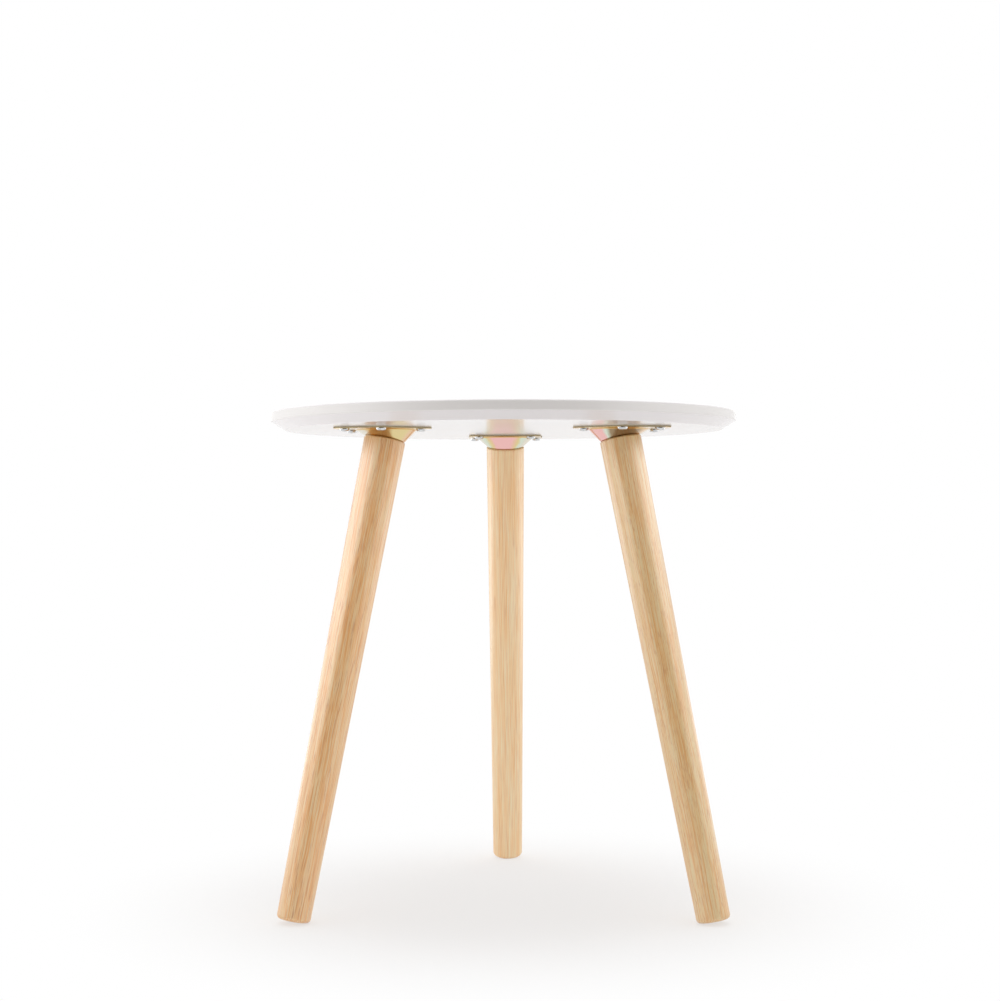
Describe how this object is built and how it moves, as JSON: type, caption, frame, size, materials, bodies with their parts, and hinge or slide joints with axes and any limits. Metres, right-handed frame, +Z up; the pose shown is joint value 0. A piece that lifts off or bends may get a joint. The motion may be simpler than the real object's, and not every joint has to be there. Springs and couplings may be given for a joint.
{
  "type": "side table",
  "caption": "Small round side table: a bevelled white top on splayed, tapered wooden legs that screw into slanted steel plates under it.",
  "frame": {"origin": "on the floor, under the middle of the round top", "axes": "+Z up along the top's axis, +Y towards the back leg, +X to the right seen from the front"},
  "size_m": [0.432, 0.4429, 0.453],
  "materials": {
    "white_lacquer": "white satin lacquer on board",
    "pale_wood": "clear satin lacquer on pale hardwood",
    "yellow_zinc": "yellow passivated zinc on pressed steel",
    "bright_zinc": "bright zinc on steel"
  },
  "bodies": {
    "table": {"table_top": "white_lacquer", "leg_plate_back": "yellow_zinc", "plate_screws_back": "bright_zinc", "plate_nut_back": "yellow_zinc", "leg_plate_left": "yellow_zinc", "plate_screws_left": "bright_zinc", "plate_nut_left": "yellow_zinc", "leg_plate_right": "yellow_zinc", "plate_screws_right": "bright_zinc", "plate_nut_right": "yellow_zinc"},
    "bolt_back": {"hanger_bolt_back": "bright_zinc"},
    "leg_back": {"leg_back": "pale_wood"},
    "bolt_left": {"hanger_bolt_left": "bright_zinc"},
    "leg_left": {"leg_left": "pale_wood"},
    "bolt_right": {"hanger_bolt_right": "bright_zinc"},
    "leg_right": {"leg_right": "pale_wood"}
  },
  "joints": [
    {"name": "leg_back_travel", "type": "slide", "parent": "table", "child": "bolt_back", "axis": [0, 0.2079, -0.9781], "range_m": [0, 0.00625]},
    {"name": "leg_back_turn", "type": "hinge", "parent": "bolt_back", "child": "leg_back", "pos_m": [0, 0.12273, 0.4265], "axis": [0, 0.2079, -0.9781], "range_deg": [0, 1800]},
    {"name": "leg_left_travel", "type": "slide", "parent": "table", "child": "bolt_left", "axis": [-0.1801, -0.104, -0.9781], "range_m": [0, 0.00625]},
    {"name": "leg_left_turn", "type": "hinge", "parent": "bolt_left", "child": "leg_left", "pos_m": [-0.10629, -0.06137, 0.4265], "axis": [-0.1801, -0.104, -0.9781], "range_deg": [0, 1800]},
    {"name": "leg_right_travel", "type": "slide", "parent": "table", "child": "bolt_right", "axis": [0.1801, -0.104, -0.9781], "range_m": [0, 0.00625]},
    {"name": "leg_right_turn", "type": "hinge", "parent": "bolt_right", "child": "leg_right", "pos_m": [0.10629, -0.06137, 0.4265], "axis": [0.1801, -0.104, -0.9781], "range_deg": [0, 1800]}
  ],
  "couplings": [
    {"joint": "leg_back_turn", "follows": "leg_back_travel", "rad_per_m": 5026.5},
    {"joint": "leg_left_turn", "follows": "leg_left_travel", "rad_per_m": 5026.5},
    {"joint": "leg_right_turn", "follows": "leg_right_travel", "rad_per_m": 5026.5}
  ]
}
